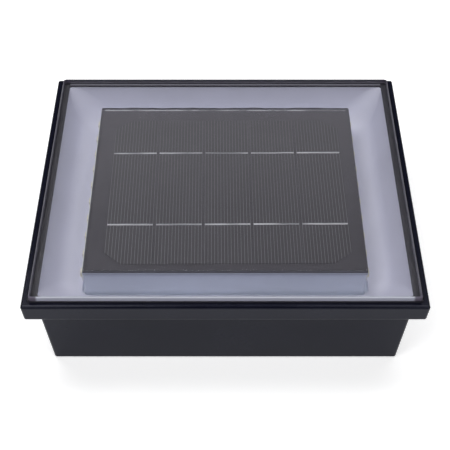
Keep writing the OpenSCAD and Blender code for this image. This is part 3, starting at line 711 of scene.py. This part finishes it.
def makeLaminate(s):
    # A clear plate over the cells with a quarter round along its upper edge, and a last ring
    # that keeps the flat top's shading level. Each side is drawn in by its own width times 1
    # plus a sum of sines along it, and points further in move less and less.
    low, high = extent("panel_laminate")
    half, r = max(high[:2]), s["cornerRadius"]
    rings = [(half, r, low[2] + s["gap"])]
    for turn in np.linspace(0.0, 0.5 * math.pi, s["roundSteps"] + 1):
        rings.append((half - s["round"] * (1.0 - math.cos(turn)), r,
                      high[2] - s["round"] * (1.0 - math.sin(turn))))
    rings.append((half - 2.0 * s["round"], r, high[2]))

    def drawIn(grid):
        moved = grid.copy()
        for axis, sign, width in s["sides"]:
            along = grid[..., 1 - axis]
            wave = sum(size * np.sin(along / step + axis + sign) for step, size in s["waves"])
            near = np.clip((sign * grid[..., axis] - half) / s["soft"] + 1.0, 0.0, 1.0)
            moved[..., axis] -= sign * near * width * (1.0 + wave)
        return moved

    grid = drawIn(squareRings(rings, s["cornerSteps"], s["sideSteps"]))
    slots = [1] * s["cutBands"] + [0] * (len(rings) - 1 - s["cutBands"])
    piece = plate("panelLaminate", grid, slots,
                  [clearFinish("clear laminate", s), plainFinish("cut laminate edge", *s["cut"])])
    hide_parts("panel_laminate")
    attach(piece, "lamp")


dress("solar_cells", cellFinish(cellSet))
dress("busbar_ribbons", ribbonFinish(ribbonSet))
dress("panel_board", backingFinish(boardSet))
makeLaminate(laminateSet)
print("panel dressed")


# LEDs and the inner parts: two tones and a roughness for each

innerFinishes = {
    "panel_tape": ("foam tape", (0.70, 0.70, 0.69), (0.80, 0.80, 0.79), 0.8),
    "led_boards": ("white solder mask", (0.72, 0.72, 0.70), (0.80, 0.80, 0.78), 0.35),
    "led_chips": ("led phosphor", (0.72, 0.68, 0.50), (0.79, 0.75, 0.58), 0.4),
    "control_board": ("green solder mask", (0.012, 0.09, 0.04), (0.018, 0.13, 0.06), 0.35),
    "controller_chips": ("chip epoxy", (0.016, 0.016, 0.017), (0.024, 0.024, 0.025), 0.55),
    "inductor": ("ferrite", (0.07, 0.07, 0.075), (0.11, 0.11, 0.115), 0.6),
    "diode": ("diode epoxy", (0.016, 0.016, 0.017), (0.024, 0.024, 0.025), 0.5),
    "resistors": ("resistor body", (0.012, 0.012, 0.014), (0.02, 0.02, 0.022), 0.45),
    "lead_connectors": ("natural nylon", (0.66, 0.63, 0.55), (0.74, 0.71, 0.63), 0.5),
    "push_switch": ("switch case", (0.02, 0.02, 0.022), (0.03, 0.03, 0.032), 0.45),
    "boot_ring": ("ring plastic", (0.02, 0.02, 0.022), (0.035, 0.035, 0.037), 0.5),
    "switch_plunger": ("plunger plastic", (0.68, 0.68, 0.68), (0.78, 0.78, 0.77), 0.4),
    "power_button": ("button plastic", (0.45, 0.45, 0.47), (0.52, 0.52, 0.54), 0.45),
    "battery_cell": ("shrink sleeve", (0.02, 0.20, 0.13), (0.03, 0.26, 0.17), 0.25),
    "battery_holder": ("holder plastic", (0.018, 0.018, 0.02), (0.026, 0.026, 0.028), 0.5),
    "cover_seal": ("red silicone", (0.36, 0.05, 0.03), (0.45, 0.07, 0.045), 0.6),
    "screw_seals": ("washer rubber", (0.02, 0.02, 0.021), (0.03, 0.03, 0.031), 0.65),
    "red_leads": ("red insulation", (0.42, 0.014, 0.012), (0.52, 0.02, 0.016), 0.4),
    "black_leads": ("black insulation", (0.014, 0.014, 0.015), (0.022, 0.022, 0.023), 0.4),
}
for node, (name, low, high, roughness) in innerFinishes.items():
    dress(node, plainFinish(name, low, high, roughness))

metalFinishes = {
    "capacitors": ("capacitor can", (0.55, 0.55, 0.56), (0.65, 0.65, 0.66), 0.3),
    "contact_plates": ("nickel plate", (0.55, 0.53, 0.48), (0.64, 0.62, 0.57), 0.3),
    "contact_spring": ("spring wire", (0.55, 0.55, 0.54), (0.66, 0.66, 0.65), 0.25),
}
for node, (name, low, high, roughness) in metalFinishes.items():
    dress(node, plainFinish(name, low, high, roughness, 1.0))

bootSet = {
    "rubber": ((0.022, 0.022, 0.024), (0.034, 0.034, 0.036), 0.6),
    "bore": 3.5 * mm,       # its radius around the button's stem
    "wall": 1.0 * mm,
    "round": 1.2 * mm,      # of the dome's edge
    "roundSteps": 5,
    "middle": 0.4,          # share of the radius that the closing faces take
    "across": 64,
    "rows": 12,             # along the part that folds
}


def makeBoot(s):
    # A rubber cup with a flange: a profile from the dome's middle out, up the wall, over the
    # flange and back down the bore, turned about the button's axis. Its flange sits in the cover.
    low, high = extent("button_boot")
    stem, ring = extent("power_button"), extent("boot_ring")
    center = 0.5 * (low + high)
    flange, dome, under = high[2], low[2], ring[1][2]
    bore, outer = s["bore"], s["bore"] + s["wall"]
    edge = [(outer - s["round"] * (1.0 - math.sin(t)), dome + s["round"] * (1.0 - math.cos(t)))
            for t in np.linspace(0.0, 0.5 * math.pi, s["roundSteps"] + 1)]
    climb = np.linspace(dome + s["round"], under, s["rows"])[1:]
    profile = [(s["middle"] * outer, dome)] + edge + [(outer, z) for z in climb]
    profile += [(0.5 * (high[0] - low[0]), under), (0.5 * (high[0] - low[0]), flange)]
    profile += [(bore, z) for z in np.linspace(flange, dome + s["wall"], s["rows"])]
    profile += [(s["middle"] * bore, dome + s["wall"])]
    profile = np.array(profile)
    turn = np.linspace(0.0, 2.0 * math.pi, s["across"], endpoint=False)
    around = np.column_stack([np.cos(turn), np.sin(turn)])
    grid = raised(profile[:, None, :1] * around[None] + center[:2], profile[:, 1])
    piece = plate("buttonBoot", grid, [0] * (len(profile) - 1),
                  [plainFinish("boot silicone", *s["rubber"])])
    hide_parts("button_boot")
    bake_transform(piece)


makeBoot(bootSet)

screwSteel = plainFinish("stainless screw", (0.50, 0.50, 0.51), (0.62, 0.62, 0.63), 0.3, 1.0)
for node in ("cover_screws", "carrier_screws", "board_screws", "holder_screws"):
    dress(node, screwSteel)
print("inner parts dressed")


# Floor, world and lamps

roomSet = {
    "floor": (0.93, 0.93, 0.935),
    "floorReach": 6.0,         # metres each way
    "floorGap": 0.05 * mm,     # below the light's base
    "floorGlow": 0.52,         # as the camera, gloss and glass see it
    "sky": (0.02, 0.02, 0.022),
    "aim": (0.0, 0.0, 0.03),
    "lamps": [
        # place, size and power of each softbox, turned to the aim
        ((-0.43, 0.43, 1.15), 0.8, 8.3),
        ((0.43, 0.43, 1.15), 0.8, 5.0),
        ((-0.57, -0.68, 0.88), 0.6, 4.0),
        ((0.57, -0.68, 0.88), 0.6, 3.5),
    ],
}


def makeRoom(s):
    # a wide pale floor that glows where it is seen, a faint sky and four softboxes
    f = Finish("floor")
    path = f.add("ShaderNodeLightPath")
    seen = Num(f, path.outputs["Is Camera Ray"]).most(Num(f, path.outputs["Is Glossy Ray"]))
    seen = seen.most(Num(f, path.outputs["Is Transmission Ray"]))
    glow = f.add("ShaderNodeEmission", None, {"Color": (1.0, 1.0, 1.0, 1.0),
                                              "Strength": s["floorGlow"] * seen})
    f.set(Base_Color=(*s["floor"], 1.0), Roughness=1.0, Specular_IOR_Level=0.0)
    both = f.add("ShaderNodeAddShader", None, {0: f.shader.outputs[0], 1: glow.outputs[0]})
    f.put(f.output.inputs[0], both.outputs[0])
    reach, low = s["floorReach"], -s["floorGap"]
    corners = [(-reach, -reach, low), (reach, -reach, low), (reach, reach, low),
               (-reach, reach, low)]
    makeMesh("floor", corners, [[0, 1, 2, 3]], [f])

    world = bpy.data.worlds.new("studio")
    scene.world = world
    world.use_nodes = True
    back = world.node_tree.nodes["Background"]
    back.inputs["Color"].default_value = (*s["sky"], 1.0)
    back.inputs["Strength"].default_value = 1.0

    for number, (place, size, power) in enumerate(s["lamps"]):
        data = bpy.data.lights.new(f"softbox{number}", "AREA")
        data.shape = "SQUARE"
        data.size = size
        data.energy = power
        lamp = bpy.data.objects.new(data.name, data)
        lamp.location = place
        aim = np.array(s["aim"]) - np.array(place)
        lamp.rotation_euler = (math.atan2(math.hypot(aim[0], aim[1]), -aim[2]), 0.0,
                               math.atan2(aim[1], aim[0]) - 0.5 * math.pi)
        scene.collection.objects.link(lamp)


makeRoom(roomSet)
scene.view_settings.view_transform = "Standard"
print("room made")
